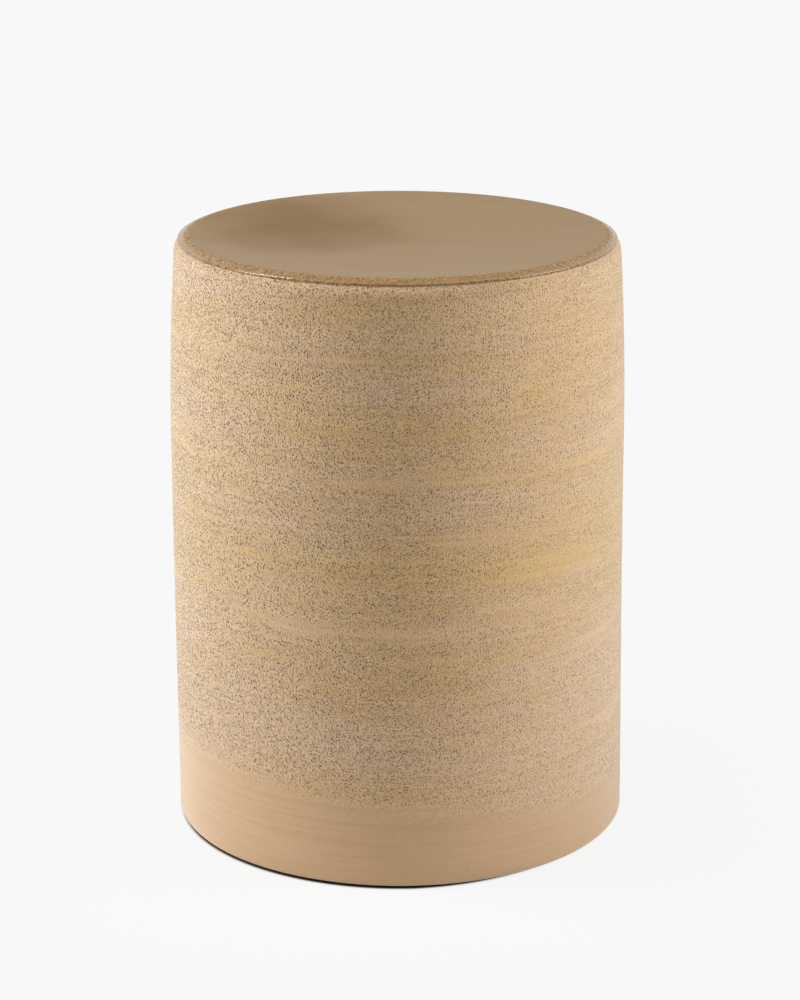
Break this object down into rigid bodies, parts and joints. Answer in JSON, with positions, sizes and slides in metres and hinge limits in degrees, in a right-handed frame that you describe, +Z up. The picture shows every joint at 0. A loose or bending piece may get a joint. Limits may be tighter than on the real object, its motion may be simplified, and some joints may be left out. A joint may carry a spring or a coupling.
{
  "type": "ceramic garden stool",
  "caption": "Round stoneware garden stool or side table: an upright hollow cylinder of raw clay with a rounded shoulder and a dished, glazed seat.",
  "frame": {"origin": "on the floor, at the middle of the stool's base", "axes": "+Z up along the stool's own axis of symmetry; it is round, so +X and +Y point at no feature but lie midway between the pads"},
  "size_m": [0.35, 0.3498, 0.46],
  "materials": {
    "stoneware": "raw, groggy, matt",
    "seat_glaze": "satin-gloss brown-grey glaze",
    "pad_rubber": "matt black"
  },
  "bodies": {
    "root": {"body_wall": "stoneware", "seat_slab": "stoneware", "seat_glaze": "seat_glaze", "seat_luting_coil": "stoneware", "foot_ring": "stoneware", "foot_luting_coil": "stoneware", "foot_pad_1": "pad_rubber", "foot_pad_2": "pad_rubber", "foot_pad_3": "pad_rubber", "foot_pad_4": "pad_rubber"}
  },
  "joints": []
}
